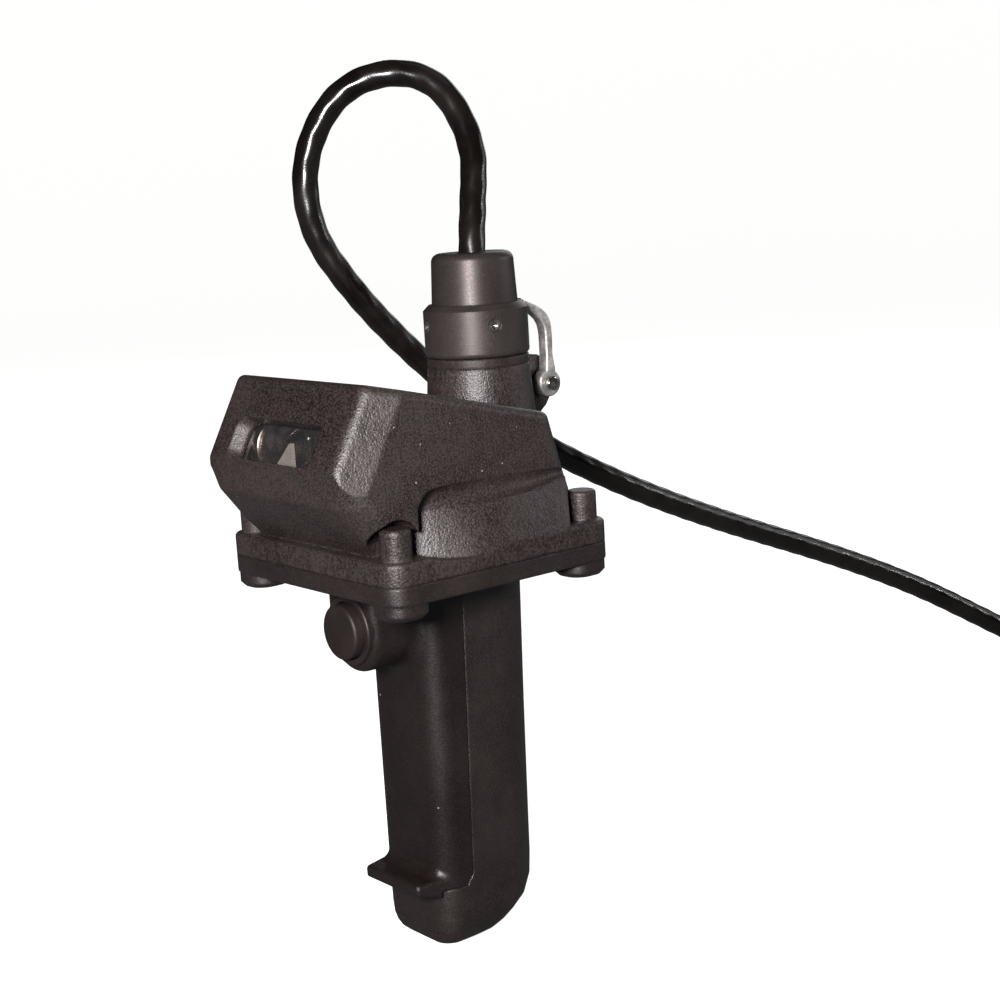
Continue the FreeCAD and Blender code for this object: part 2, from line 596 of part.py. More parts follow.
# bores for the button
cover = cover.cut(cyl((0, BARREL_FACE - 1, BTN_Z), (0, 1, 0), 9.8, 8.0))
cover = cover.cut(cyl((0, -25.6, BTN_Z), (0, 1, 0), 11.3, 30.0))
cover = cover.cut(cyl((0, BARREL_FACE - 1, BTN_Z), (0, 1, 0), 12.0, 3.0))
cover = cover.cut(tube((0, -28.2, BTN_Z), (0, 1, 0), 10.9, 9.5, 1.5))
add("grip_front_cover", cover.removeSplitter())

# screws of the front cover, entered from inside through the bars
cs = []
for z in SCREW_BARS:
    for sx in (-1, 1):
        c = cyl((sx * 9.5, -3.0, z), (0, 1, 0), 1.15, 10.45)
        h = cyl((sx * 9.5, 7.42, z), (0, 1, 0), 2.6, 1.9)
        cs.append(fuse(c, h))
add("cover_screws", *cs)

# ------------------------------------------------------- trigger button -----
btn = cyl((0, BTN_FACE, BTN_Z), (0, 1, 0), BTN_R, -24.9 - BTN_FACE)
btn = fillet(btn, 1.1, lambda e: near(e, y=BTN_FACE, tol=0.05))
rim = cyl((0, -25.3, BTN_Z), (0, 1, 0), 10.9, 2.0)
stem = cyl((0, -23.4, BTN_Z), (0, 1, 0), 3.0, 12.3)
tip = cyl((0, -11.2, BTN_Z), (0, 1, 0), 1.5, 2.4)
btn = fuse(btn, rim, stem, tip)
btn = btn.cut(tube((0, -29.0, BTN_Z), (0, 1, 0), 7.4, 3.0 + 1.6, 6.2))
add("trigger_button", btn)
bez = tube((0, BARREL_FACE - 0.9, BTN_Z), (0, 1, 0), 11.95, 9.8, 2.8)
bez = fillet(bez, 0.7, lambda e: near(e, y=BARREL_FACE - 0.9, tol=0.05) and abs(e.Curve.Radius - 11.95) < 0.05)
add("button_bezel", bez)
add("button_seal", tube((0, -28.15, BTN_Z), (0, 1, 0), 10.85, BTN_R + 0.05, 1.4))

# return spring behind the button's rim, short enough to travel with it
helix = Part.makeHelix(2.4, 9.6, 5.6)
prof = Part.Wire(Part.makeCircle(0.6, V(5.6, 0, 0), V(0, 1, 0)))
spring = Part.Wire(helix.Edges).makePipeShell([prof], True, True)
spring.rotate(V(0, 0, 0), V(1, 0, 0), -90)
spring.translate(V(0, -22.65, BTN_Z))
add("button_spring", spring)

# switch with its plunger, on a bracket inside the grip
sw = box(-9.6, 9.6, -7.6, 4.4, BTN_Z - 5.0, BTN_Z + 5.0)
sw = fillet(sw, 0.8, lambda e: abs(e.tangentAt(e.FirstParameter).y) > 0.9)
sw = sw.cut(cyl((0, -8.6, BTN_Z), (0, 1, 0), 1.9, 9.6))
for sx in (-1, 1):
    sw = sw.cut(cyl((sx * 7.0, -1.6, BTN_Z - 6), (0, 0, 1), 1.25, 12))
    sw = fuse(sw, box(sx * 5.5 - 0.4, sx * 5.5 + 0.4, 4.4, 8.6, BTN_Z - 1.2, BTN_Z + 1.2))
add("trigger_switch", sw)
pl = fillet(cyl((0, -8.5, BTN_Z), (0, 1, 0), 1.6, 5.6), 0.5, lambda e: near(e, y=-8.5, tol=0.05))
add("switch_plunger", pl)
br = fuse(box(-11.6, 11.6, -9.3, -7.7, BTN_Z - 9.5, BTN_Z + 9.5), box(-9.0, 9.0, -9.3, 3.0, BTN_Z - 6.8, BTN_Z - 5.2))
br = br.cut(cyl((0, -12, BTN_Z), (0, 1, 0), 3.4, 6))
br = br.common(fuse(cyl((0, -12, BTN_Z), (0, 1, 0), 11.2, 6), box(-9.5, 9.5, -7.8, 4.0, BTN_Z - 7, BTN_Z - 4)))
br = br.cut(fuse(*[cyl((sx * 7.0, -1.6, BTN_Z - 8), (0, 0, 1), 1.25, 12) for sx in (-1, 1)]))
add("switch_bracket", br)
ss = []
for sx in (-1, 1):
    ss.append(fuse(cyl((sx * 7.0, -1.6, BTN_Z - 8.2), (0, 0, 1), 1.15, 13.0),
                   cyl((sx * 7.0, -1.6, BTN_Z - 8.2), (0, 0, 1), 2.1, 1.4)))
add("switch_screws", *ss)

# ------------------------------------------------------- window and optics --
glass = face_prism(-27.0, 25.4, -1.2, 16.6, -6.6, -4.9, [3.4, 3.4, 2.6, 2.6])
seal = face_prism(-27.3, 25.7, -1.5, 16.9, -4.9, -4.45, [3.7, 3.7, 2.8, 2.8]).cut(
    face_prism(SLOT_X0 - 0.4, SLOT_X1 + 0.4, SLOT_S0 - 0.3, SLOT_S1 + 0.4, -7, -4, SLOT_RADII))
frame = face_prism(-27.3, 25.7, -1.5, 16.9, -7.9, -6.65, [3.7, 3.7, 2.8, 2.8]).cut(
    face_prism(-25.4, 23.8, -0.2, 15.0, -9, -6, [2.5] * 4))
add("window_glass", glass)
add("window_seal", seal)
add("window_retainer", frame)

# optical block on a bracket: a lens barrel lying across the slot, its right end cut on the slant,
# with a clamp ring on it and a flat mirror plate standing just beyond the slanted end
SLANT = V(0.773, 0, -0.634)
barrel = tube((-29.0, AX[0], AX[1]), (1, 0, 0), BAR_R, 7.4, 32.0)
cutp = Part.makeBox(60, 60, 60, V(-30, -30, 0))
cutp.Placement = FreeCAD.Placement(V(-12.2, AX[0], 36.5), FreeCAD.Rotation(V(0, 0, 1), SLANT))
barrel = barrel.cut(cutp)
add("lens_barrel", barrel)
ring = tube((-26.4, AX[0], AX[1]), (1, 0, 0), BAR_R + 1.0, BAR_R + 0.02, 4.5)
ring = chamfer(ring, 0.4, lambda e: abs(e.Length - 2 * math.pi * (BAR_R + 1.0)) < 0.1)
add("barrel_ring", ring)
lens = cyl((-24.5, AX[0], AX[1]), (1, 0, 0), 7.35, 2.4)
dome = Part.makeSphere(15.0, V(-34.4, AX[0], AX[1])).common(cyl((-24.5, AX[0], AX[1]), (1, 0, 0), 7.35, 6.0))
add("lens", fuse(lens, dome))
SHELF = 27.4
mir = prism_xz([(-16.8, SHELF), (-4.4, SHELF), (-4.4, 41.2), (-5.2, 41.2), (-14.8, 32.5)], -45.4, -43.9)
add("mirror_plate", mir)
# bracket: shelf on two legs, a cradle for the barrel, a back plate and a slim post
brk = fuse(prism_xy([(-26.3, -17.2), (-26.3, -40.6), (-18.0, -45.9), (14.0, -45.9), (22.0, -42.4), (22.0, -17.2)],
                    SHELF - 2.4, SHELF),
           box(-26.3, -23.1, -22.3, -17.2, 1.7, SHELF - 2.3),
           box(19.0, 22.0, -22.3, -17.2, 1.7, SHELF - 2.3),
           box(-26.3, 26.3, -22.3, -17.2, -GASKET_T / 2 + 0.02, 1.8),
           box(-1.4, 22.0, -41.6, -40.3, SHELF - 0.1, 45.6),
           box(6.1, 6.9, -45.6, -44.8, SHELF - 0.1, 43.4))
cradle = box(-21.0, -13.5, AX[0] - 4.6, AX[0] + 4.6, SHELF - 0.1, 34.0).cut(
    cyl((-40, AX[0], AX[1]), (1, 0, 0), BAR_R + 0.02, 60))
brk = fuse(brk, cradle)
add("optics_bracket", brk)
osc = []
for x in OPTICS_SCREW_X:
    brk_hole = cyl((x, OPTICS_SCREW_Y, -1), (0, 0, 1), 1.5, 8)
    NODES["optics_bracket"] = NODES["optics_bracket"].cut(brk_hole.translated(-GRIP_CENTRE))
    osc.append(fuse(cyl((x, OPTICS_SCREW_Y, -5.2), (0, 0, 1), 1.3, 7.1), cyl((x, OPTICS_SCREW_Y, 1.82), (0, 0, 1), 2.4, 1.6)))
add("optics_screws", *osc)
add("post_screw", cyl((6.5, -45.2, 43.42), (0, 0, 1), 0.75, 0.8))

# circuit board behind the optics, with a few parts and its screws
PCB_Y = -16.0
pcb = box(-31.0, 31.0, PCB_Y, PCB_Y + 1.6, 5.0, 38.0)
comps = [box(-20, -6, PCB_Y + 1.6, PCB_Y + 4.2, 12, 24), box(4, 20, PCB_Y + 1.6, PCB_Y + 3.6, 20, 32),
         box(6, 12, PCB_Y + 1.6, PCB_Y + 6.1, 8, 14), box(-24, -20, PCB_Y + 1.6, PCB_Y + 5.6, 28, 34)]
pcb = pcb.cut(fuse(*[cyl((x, PCB_Y - 1, z), (0, 1, 0), 1.5, 5) for x in (-28, 28) for z in (8, 35)]))
add("circuit_board", fuse(pcb, *comps))
rail = [box(sx * 29.5 - 2.4, sx * 29.5 + 2.4, PCB_Y - 4.5, PCB_Y - 0.05, -GASKET_T / 2 + 0.02, 38.5) for sx in (-1, 1)]
add("board_rails", *rail)
bs = []
for x in (-28, 28):
    for z in (8, 35):
        bs.append(fuse(cyl((x, PCB_Y - 0.04, z), (0, 1, 0), 1.4, 1.7), cyl((x, PCB_Y + 1.62, z), (0, 1, 0), 2.5, 1.5)))
add("board_screws", *bs)
det = fuse(box(-37.95, -31.6, AX[0] - 3, AX[0] + 8, AX[1] - 7, AX[1] + 5), cyl((-31.6, AX[0] + 2, AX[1] - 1), (1, 0, 0), 4.0, 2.2))
add("light_sensor", det)

# ------------------------------------------------------- receptacle + plug --
rec = fuse(tube((0, NECK_Y, NECK_TOP), (0, 0, 1), 17.6, 11.6, RING_TOP - NECK_TOP - 0.1),
           tube((0, NECK_Y, 46.0), (0, 0, 1), 12.15, 9.6, NECK_TOP - 46.0 + 0.5),
           cyl((0, NECK_Y, 46.0), (0, 0, 1), 9.8, 4.0),
           tube((0, NECK_Y, RING_TOP - 1.0), (0, 0, 1), 12.6, 11.6, 9.0))
rec = fillet(rec, 0.5, lambda e: near(e, z=RING_TOP - 0.1, tol=0.05) and abs(e.Curve.Radius - 17.6) < 0.05)
add("receptacle", rec)
pins = []
for k in range(6):
    a = math.radians(60 * k)
    pins.append(cyl((5.6 * math.cos(a), NECK_Y + 5.6 * math.sin(a), 43.0), (0, 0, 1), 0.8, 15.0))
pins.append(cyl((0, NECK_Y, 43.0), (0, 0, 1), 0.8, 15.0))
pin_holes = fuse(*[cyl((p.CenterOfMass.x, p.CenterOfMass.y, 50.5), (0, 0, 1), 1.0, 9.5) for p in pins])
NODES["receptacle"] = NODES["receptacle"].cut(fuse(*[p.copy() for p in pins]).translated(-GRIP_CENTRE))
add("receptacle_pins", *pins)
ins = cyl((0, NECK_Y, 51.0), (0, 0, 1), 9.3, 15.0).cut(pin_holes)
add("plug_insert", ins)

collar = cyl((0, NECK_Y, RING_TOP), (0, 0, 1), COLLAR_R, COLLAR_TOP - RING_TOP)
collar = chamfer(collar, 2.0, lambda e: near(e, z=COLLAR_TOP, tol=0.05))
collar = fillet(collar, 1.6, lambda e: near(e, z=RING_TOP, tol=0.05))
collar = collar.cut(cyl((0, NECK_Y, RING_TOP - 1), (0, 0, 1), 14.0, 30))
SCREW_A = [math.radians(a) for a in (-18.0, 72.0, 162.0, 252.0)]
SCREW_Z = 73.0
for a in SCREW_A:
    d = (math.cos(a), math.sin(a), 0)
    collar = collar.cut(cyl((13 * d[0], NECK_Y + 13 * d[1], SCREW_Z), d, 2.3, 6))
add("coupling_collar", collar)
scr = []
for a in SCREW_A:
    d = (math.cos(a), math.sin(a), 0)
    s = cyl((14.0 * d[0], NECK_Y + 14.0 * d[1], SCREW_Z), d, 2.25, 3.6)
    s = s.cut(cyl((16.2 * d[0], NECK_Y + 16.2 * d[1], SCREW_Z), d, 1.1, 3.0))
    scr.append(s)
add("collar_set_screws", *scr)
cap = fuse(cone((0, NECK_Y, COLLAR_TOP), (0, 0, 1), CAP_R_BOT, CAP_R_TOP, CAP_TOP - COLLAR_TOP),
           cyl((0, NECK_Y, 66.2), (0, 0, 1), 13.95, COLLAR_TOP - 66.2 + 0.1))
cap = fillet(cap, 3.0, lambda e: near(e, z=CAP_TOP, tol=0.05))
cap = cap.cut(cyl((0, NECK_Y, 60), (0, 0, 1), 12.7, 11.0))
cap = cap.cut(cyl((0, NECK_Y, 60), (0, 0, 1), 9.4, 31.0))
cap = cap.cut(cyl((0, NECK_Y, 60), (0, 0, 1), 5.0, 50))
add("plug_body", cap)
add("plug_o_ring", Part.makeTorus(11.0, 0.55, V(0, NECK_Y, 65.4), V(0, 0, 1)))
add("cable_gland", fuse(tube((0, NECK_Y, 84.0), (0, 0, 1), 9.35, CABLE_D / 2, 6.9),
                        tube((0, NECK_Y, 90.8), (0, 0, 1), 4.95, CABLE_D / 2, 3.9)))

# ------------------------------------------------------- latch lever --------
PY, PZ = LATCH_PIVOT
outer = [(46.9, 80.2), (48.6, 79.4), (51.0, 78.3), (53.4, 77.3), (55.4, 76.3), (57.2, 75.1), (58.6, 73.7), (59.6, 72.1),
         (60.2, 70.4), (60.5, 68.4), (60.6, 66.0), (60.4, 59.5), (61.3, 54.2), (61.5, 50.2)]
inn = [(56.2, 50.2), (57.1, 54.6), (57.5, 59.5), (57.5, 66.0), (57.3, 67.8), (56.8, 69.9), (55.6, 71.9), (53.6, 73.6),
       (51.4, 75.0), (50.0, 76.0), (49.4, 77.7), (47.2, 79.9)]
arm = poly_face([(LATCH_X0, y, z) for y, z in outer + inn]).extrude(V(LATCH_X1 - LATCH_X0, 0, 0))
lb = cyl((LATCH_X0, PY, PZ), (1, 0, 0), LATCH_BOSS_R, LATCH_X1 - LATCH_X0)
lever = fuse(arm, lb)
lever = fillet(lever, 1.25, lambda e: abs(mid(e).x - LATCH_X1) < 0.05)
lever = fillet(lever, 0.5, lambda e: abs(mid(e).x - LATCH_X0) < 0.05)
lever = lever.cut(cyl((LATCH_X0 - 1, PY, PZ), (1, 0, 0), PIN_R + PIN_CLEAR, 12))
add("latch_lever", lever)
bolt = fuse(cyl((-6.6, PY, PZ), (1, 0, 0), 1.65, 7.3), cyl((0.65, PY, PZ), (1, 0, 0), PIN_R, LATCH_X1 - 0.25),
            cyl((LATCH_X1 + 0.35, PY, PZ), (1, 0, 0), 2.5, 1.5))
bolt = fillet(bolt, 0.6, lambda e: near(e, x=LATCH_X1 + 1.85, tol=0.05))
hx = Part.makePolygon([V(LATCH_X1 + 1.9, PY + 1.45 * math.cos(math.radians(60 * k)),
                         PZ + 1.45 * math.sin(math.radians(60 * k))) for k in range(7)])
bolt = bolt.cut(Part.Face(hx).extrude(V(-1.3, 0, 0)))
add("latch_pivot_bolt", bolt)
add("latch_washer", tube((0.62, PY, PZ), (1, 0, 0), 3.4, PIN_R + 0.06, 0.45))

# ------------------------------------------------------- wires inside -------
def path_tube(points, r, end_fix=None):
    """Straight runs joined by tangent arcs; returns the solid and the radii."""
    P = [V(*p) for p in points]
    runs = [(P[i + 1] - P[i]).Length for i in range(len(P) - 1)]
    edges, radii, start = [], [], P[0]
    length = 0.0
    for i in range(1, len(P) - 1):
        u = P[i - 1] - P[i]
        v = P[i + 1] - P[i]
        u.normalize()
        v.normalize()
        turn = math.pi - u.getAngle(v)
        t = 0.45 * min(runs[i - 1], runs[i])
        rad = t / math.tan(turn / 2.0)
        a, b = P[i] + u * t, P[i] + v * t
        bis = u + v
        bis.normalize()
        d = rad / math.cos(turn / 2.0)
        c = P[i] + bis * d
        m = c - bis * rad
        edges.append(Part.LineSegment(start, a).toShape())
        edges.append(Part.Arc(a, m, b).toShape())
        length += (a - start).Length + rad * turn
        radii.append(rad)
        start = b
    edges.append(Part.LineSegment(start, P[-1]).toShape())
    length += (P[-1] - start).Length
    w = Part.Wire(edges)
    d0 = P[1] - P[0]
    prof = Part.Wire(Part.makeCircle(r, P[0], d0))
    s = w.makePipeShell([prof], True, True)
    vol = math.pi * r * r * length
    print("tube of %.1f mm: length %.1f, volume ratio %.4f, radii %s" % (
        2 * r, length, s.Volume / vol, " ".join("%.0f" % x for x in radii)))
    return s, length


loom, _ = path_tube([(2.0, 8.8, BTN_Z + 3.0), (6.0, 14.0, -8.0), (8.0, 12.0, 8.0), (4.0, 16.0, 22.0),
                     (0.0, NECK_Y - 4.0, 34.0), (0.0, NECK_Y, 42.6)], 1.9)
add("wire_loom", loom)

# ------------------------------------------------------- the cable ----------
ROUTE = [
    (0.0, 30.8, 90.5), (0.0, 30.8, 98.5), (-3.1, 34.9, 111.5), (-7.6, 41.3, 135.9), (-23.2, 35.4, 160.1),
    (-43.9, 14.6, 158.6), (-53.9, 1.0, 135.2), (-54.7, 1.5, 107.6), (-49.7, 15.5, 84.2),
    (-45.9, 33.0, 63.9), (-41.4, 52.1, 45.0), (-35.0, 72.8, 28.6), (-28.7, 94.8, 14.0),
    (-23.8, 118.2, 1.0), (-22.0, 142.7, -10.5), (-22.1, 167.8, -21.0), (-22.5, 193.1, -31.0),
    (-21.7, 218.4, -40.8), (-19.1, 243.4, -51.1), (-14.6, 267.8, -62.1), (-8.4, 291.4, -74.2),
    (-0.6, 313.6, -87.7), (9.2, 334.9, -101.4), (21.7, 355.4, -113.2), (38.9, 374.3, -121.2),
    (54.6, 395.2, -125.0), (65.0, 418.9, -125.5), (67.65, 436.0, -125.35),
]
cable, cable_len = path_tube(ROUTE, CABLE_D / 2)
add("cable", cable)
cx, cy = COIL_C
coil = tube((cx, cy, FLOOR_Z), (0, 0, 1), COIL_R + CABLE_D, COIL_R - CABLE_D, COIL_T)
coil_ring = fillet(coil, 4.0, lambda e: True)
coil = coil_ring.cut(cable)
add("cable_coil", coil)
ties = []
for a in (150.0, 240.0):
    d = V(math.cos(math.radians(a)), math.sin(math.radians(a)), 0)
    t = V(-d.y, d.x, 0)
    w = 4.6
    o = box(-CABLE_D - 1.0, CABLE_D + 1.0, -w / 2, w / 2, 0.0, COIL_T + 1.0)
    o = o.cut(box(-CABLE_D - 0.12, CABLE_D + 0.12, -w, w, -1, COIL_T + 0.1))
    o.rotate(V(0, 0, 0), V(0, 0, 1), a)
    o.translate(V(cx, cy, FLOOR_Z) + d * COIL_R)
    ties.append(o)
add("coil_ties", *ties)
ty = cy + COIL_R + CABLE_D / 2
tz = FLOOR_Z + CABLE_D / 2
CON_R = 8.2
con_z = FLOOR_Z + CON_R
k = con_z - tz
x0 = cx - TAIL_L
tail = Part.makeCylinder(CABLE_D / 2, TAIL_L + 4.0, V(cx - 2.0, ty, tz + 0.15), V(-TAIL_L, 0, k))
tail = tail.cut(coil_ring).cut(box(-300, x0, 0, 700, -200, 0))
add("cable_tail", tail)
relief = cone((x0, ty, con_z), (-1, 0, 0), 6.2, 7.4, 9.0)
shellc = cyl((x0 - 9.0, ty, con_z), (-1, 0, 0), CON_R - 0.4, 14.0)
add("connector_shell", fuse(relief, shellc))
nut = cyl((x0 - 23.0, ty, con_z), (-1, 0, 0), CON_R, 9.0)
nut = nut.cut(cyl((x0 - 24.0, ty, con_z), (-1, 0, 0), 6.6, 9.0))
nut = nut.cut(cyl((x0 - 22.0, ty, con_z), (-1, 0, 0), 6.0, 12.0))
add("connector_ring", nut)
nose = fuse(tube((x0 - 23.0, ty, con_z), (-1, 0, 0), 5.6, 4.9, 9.1), tube((x0 - 32.0, ty, con_z), (-1, 0, 0), 5.95, 4.9, 7.0))
nose = fuse(nose, cyl((x0 - 23.0, ty, con_z), (-1, 0, 0), 5.0, 6.0))
for kk in range(5):
    a = math.radians(72 * kk)
    nose = fuse(nose, cyl((x0 - 28.0, ty + 2.9 * math.cos(a), con_z + 2.9 * math.sin(a)), (-1, 0, 0), 0.6, 8.0))
add("connector_nose", nose)

print("cable length to the coil %.0f mm" % cable_len)
for name, shp in NODES.items():
    bad = [i for i, s in enumerate(shp.Solids) if not s.isValid()]
    bb = shp.BoundBox
    print("%-20s solids %d vol %9.1f  x %.1f %.1f  y %.1f %.1f  z %.1f %.1f%s" % (
        name, len(shp.Solids), shp.Volume, bb.XMin, bb.XMax, bb.YMin, bb.YMax, bb.ZMin, bb.ZMax,
        "  INVALID %s" % bad if bad or not shp.Solids else ""))
    shp.exportStep(os.path.join(OUT, name + ".step"))
print(len(NODES), "nodes")
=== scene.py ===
import json
import math

import bpy
import bmesh
from mathutils import Matrix, Vector, noise


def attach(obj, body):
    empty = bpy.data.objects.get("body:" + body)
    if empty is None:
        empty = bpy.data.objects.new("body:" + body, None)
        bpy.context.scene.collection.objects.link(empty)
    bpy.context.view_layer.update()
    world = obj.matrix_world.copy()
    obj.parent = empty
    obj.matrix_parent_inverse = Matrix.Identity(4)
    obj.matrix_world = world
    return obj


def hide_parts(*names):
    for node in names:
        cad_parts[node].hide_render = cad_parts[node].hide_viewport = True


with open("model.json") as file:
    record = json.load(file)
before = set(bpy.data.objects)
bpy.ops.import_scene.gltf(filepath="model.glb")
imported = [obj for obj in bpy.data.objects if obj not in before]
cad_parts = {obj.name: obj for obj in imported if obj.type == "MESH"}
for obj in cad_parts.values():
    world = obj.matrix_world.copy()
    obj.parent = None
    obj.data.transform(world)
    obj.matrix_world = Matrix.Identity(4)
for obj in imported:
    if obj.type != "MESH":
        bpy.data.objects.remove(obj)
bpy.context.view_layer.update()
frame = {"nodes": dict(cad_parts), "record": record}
scene = bpy.context.scene
scene.view_settings.view_transform = "Standard"

# the part's own frame, from the flange datum that the drawing uses (millimetres)
SHIFT = Vector((0.0, -13.5, 78.0))


def P(x, y, z):
    return (Vector((x, y, z)) + SHIFT) / 1000.0


FLOOR = -0.0613

# ------------------------------------------------------------- camera -------
AZ, PITCH, ROLL = math.radians(50.78), math.radians(10.29), math.radians(-3.43)
look = Vector((-math.sin(AZ) * math.cos(PITCH), math.cos(AZ) * math.cos(PITCH), -math.sin(PITCH)))
flat = Vector((math.cos(AZ), math.sin(AZ), 0.0))
over = flat.cross(look)
right = math.cos(ROLL) * flat + math.sin(ROLL) * over
up = -math.sin(ROLL) * flat + math.cos(ROLL) * over
eye = P(473.17, -349.43, 120.84)
cam_data = bpy.data.cameras.new("camera")
cam = bpy.data.objects.new("camera", cam_data)
scene.collection.objects.link(cam)
cam_data.sensor_width = 36.0
cam_data.lens = 1760.51 / 1000.0 * 36.0
cam_data.clip_start = 0.01
cam_data.clip_end = 60.0
cam.matrix_world = Matrix(((right.x, up.x, -look.x, eye.x), (right.y, up.y, -look.y, eye.y),
                           (right.z, up.z, -look.z, eye.z), (0, 0, 0, 1)))
scene.camera = cam

# ------------------------------------------------------------- cable --------
CABLE_D = 0.0093
ROUTE = [
    (0.0, 30.8, 90.5), (0.0, 30.8, 98.5), (-3.1, 34.9, 111.5), (-7.6, 41.3, 135.9), (-23.2, 35.4, 160.1),
    (-43.9, 14.6, 158.6), (-53.9, 1.0, 135.2), (-54.7, 1.5, 107.6), (-49.7, 15.5, 84.2),
    (-45.9, 33.0, 63.9), (-41.4, 52.1, 45.0), (-35.0, 72.8, 28.6), (-28.7, 94.8, 14.0),
    (-23.8, 118.2, 1.0), (-22.0, 142.7, -10.5), (-22.1, 167.8, -21.0), (-22.5, 193.1, -31.0),
    (-21.7, 218.4, -40.8), (-19.1, 243.4, -51.1), (-14.6, 267.8, -62.1), (-8.4, 291.4, -74.2),
    (-0.6, 313.6, -87.7), (9.2, 334.9, -101.4), (21.7, 355.4, -113.2), (38.9, 374.3, -121.2),
    (54.6, 395.2, -125.0), (65.0, 418.9, -125.5),
]
COIL_X, COIL_Y = 12.0, 436.0
R_IN, R_OUT, Z_LOW, Z_TOP = 46.35, 55.6, -134.65, -125.35
FULLER = 1.0 / 0.9672        # a turn's control points stand outside its circle by this much


def smooth(a, b, t):
    t = min(max((t - a) / (b - a), 0.0), 1.0)
    return t * t * (3 - 2 * t)


def coil_point(deg):
    """Three and a quarter turns: top outer, top inner, bottom inner, bottom outer."""
    r = R_OUT + (R_IN - R_OUT) * smooth(262, 318, deg) + (R_OUT - R_IN) * smooth(982, 1038, deg)
    z = Z_TOP + (Z_LOW - Z_TOP) * smooth(622, 678, deg)
    r -= 2.6 * smooth(600, 650, deg) * (1 - smooth(650, 700, deg))
    r += 0.25 * math.sin(deg * 0.031)
    a = math.radians(deg)
    return (COIL_X + r * FULLER * math.cos(a), COIL_Y + r * FULLER * math.sin(a), z)


for step in range(0, 1151, 25):
    ROUTE.append(coil_point(float(step)))
ROUTE += [(18.0, 491.9, -134.65), (8.0, 491.85, -134.5), (-6.0, 491.75, -133.4), (-18.0, 491.65, -131.7),
          (-27.0, 491.65, -131.1), (-32.5, 491.65, -131.1)]

line = bpy.data.curves.new("cable_line", "CURVE")
line.dimensions = "3D"
line.resolution_u = 14
sp = line.splines.new("NURBS")
sp.points.add(len(ROUTE) - 1)
for q, p in zip(sp.points, ROUTE):
    v = P(*p)
    q.co = (v.x, v.y, v.z, 1.0)
sp.order_u = 3
sp.use_endpoint_u = True
line_obj = bpy.data.objects.new("cable_line", line)
scene.collection.objects.link(line_obj)
bpy.context.view_layer.update()
line_mesh = bpy.data.meshes.new_from_object(line_obj.evaluated_get(bpy.context.evaluated_depsgraph_get()))
PATH = []
for v in line_mesh.vertices:
    if not PATH or (v.co - PATH[-1]).length > 1e-5:
        PATH.append(v.co.copy())
bpy.data.objects.remove(line_obj)
bpy.data.meshes.remove(line_mesh)


def along(path):
    s = [0.0]
    for a, b in zip(path, path[1:]):
        s.append(s[-1] + (b - a).length)
    return s


def frames(path):
    """Tangent and a normal carried along the path without twist."""
    out = []
    n = None
    for i, p in enumerate(path):
        t = (path[min(i + 1, len(path) - 1)] - path[max(i - 1, 0)]).normalized()
        if n is None:
            n = t.orthogonal().normalized()
        n = (n - t * n.dot(t)).normalized()
        out.append((t, n, t.cross(n)))
    return out


def mesh_object(name, verts, faces, smooth_faces=True):
    me = bpy.data.meshes.new(name)
    me.from_pydata([tuple(v) for v in verts], [], faces)
    me.validate()
    me.update()
    if smooth_faces:
        me.polygons.foreach_set("use_smooth", [True] * len(me.polygons))
    o = bpy.data.objects.new(name, me)
    scene.collection.objects.link(o)
    return o


def swept(name, path, section, n=28):
    """Closed tube round a path; section(s, angle) gives the radius."""
    s = along(path)
    fr = frames(path)
    verts, faces = [], []
    for i, p in enumerate(path):
        t, a, b = fr[i]
        for k in range(n):
            w = 2 * math.pi * k / n
            r = section(s[i], w)
            verts.append(p + (a * math.cos(w) + b * math.sin(w)) * r)
    for i in range(len(path) - 1):
        for k in range(n):
            k2 = (k + 1) % n
            faces.append((i * n + k, i * n + k2, (i + 1) * n + k2, (i + 1) * n + k))
    c0, c1 = len(verts), len(verts) + 1
    verts += [path[0], path[-1]]
    last = (len(path) - 1) * n
    for k in range(n):
        k2 = (k + 1) % n
        faces.append((c0, k2, k))
        faces.append((c1, last + k, last + k2))
    o = mesh_object(name, verts, faces)
    uv = o.data.uv_layers.new(name="UVMap")
    for poly in o.data.polygons:
        for li in poly.loop_indices:
            vi = o.data.loops[li].vertex_index
            i, k = divmod(vi, n) if vi < c0 else (0 if vi == c0 else len(path) - 1, 0)
            uv.data[li].uv = (s[i] * 10.0, k / n)
    return o


LAY_PITCH = 0.030


def cable_section(s, w):
    """Three cores laid up under a thin jacket, which shows their lay as soft ridges."""
    ph = w - 2 * math.pi * s / LAY_PITCH
    r = CABLE_D / 2 * (0.986 + 0.022 * math.cos(3 * ph))
    q = noise.noise(Vector((s * 120.0, math.cos(w) * 0.9, math.sin(w) * 0.9)))
    r += q * 0.00005
    return r


cable = swept("cable_jacket", PATH, cable_section, 30)

# ------------------------------------------------------------- node tools ---


